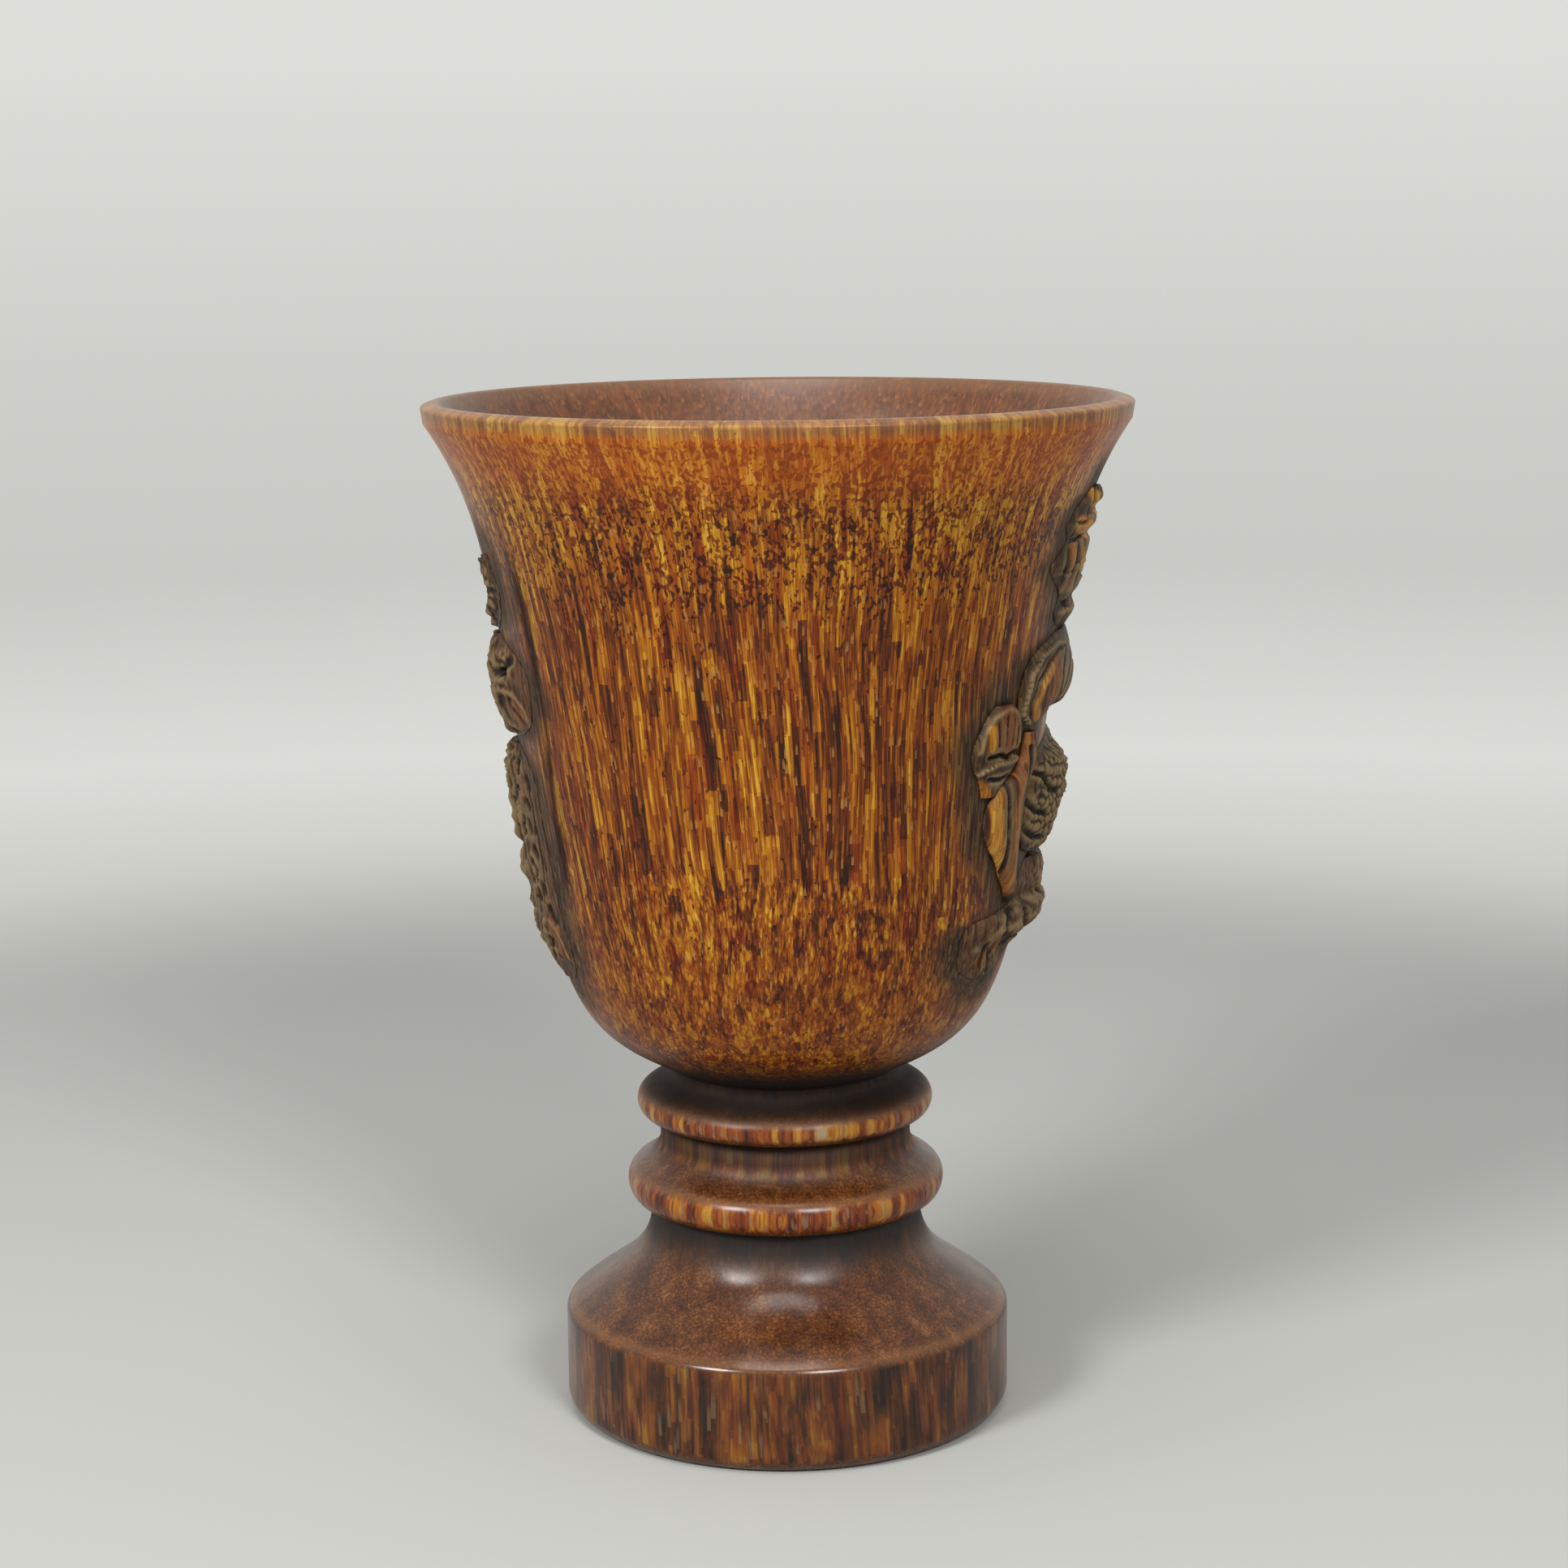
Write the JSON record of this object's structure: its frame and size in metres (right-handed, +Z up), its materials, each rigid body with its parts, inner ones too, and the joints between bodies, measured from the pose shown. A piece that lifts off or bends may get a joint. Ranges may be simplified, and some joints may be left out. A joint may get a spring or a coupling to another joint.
{
  "type": "footed drinking cup",
  "caption": "Footed drinking cup of turned, polished horn: a flared bowl with carved plants and rocks on two sides, two turned rings and a heavy round foot.",
  "frame": {"origin": "centre of the foot's underside, on the surface that the cup stands on", "axes": "+Z up along the turning axis, +X to the side with the jointed stalk and the capped fungus, -Y towards the viewer"},
  "size_m": [0.09, 0.09, 0.1324],
  "materials": {
    "horn_bowl": "polished horn with fine upright streaks",
    "horn_turned": "polished dark horn",
    "horn_relief": "carved horn with dulled hollows"
  },
  "bodies": {
    "root": {"foot": "horn_turned", "lower_knop": "horn_turned", "upper_knop": "horn_turned", "bowl": "horn_bowl", "bamboo_stalk": "horn_relief", "fungus_cap": "horn_relief", "side_leaf": "horn_relief", "long_leaf": "horn_relief", "pine_trunk": "horn_relief", "pine_needles": "horn_relief", "rock_ledge": "horn_relief", "plum_twig": "horn_relief", "plum_spray": "horn_relief", "plum_branch": "horn_relief", "plum_blossoms": "horn_relief", "garden_rock": "horn_relief"}
  },
  "joints": []
}
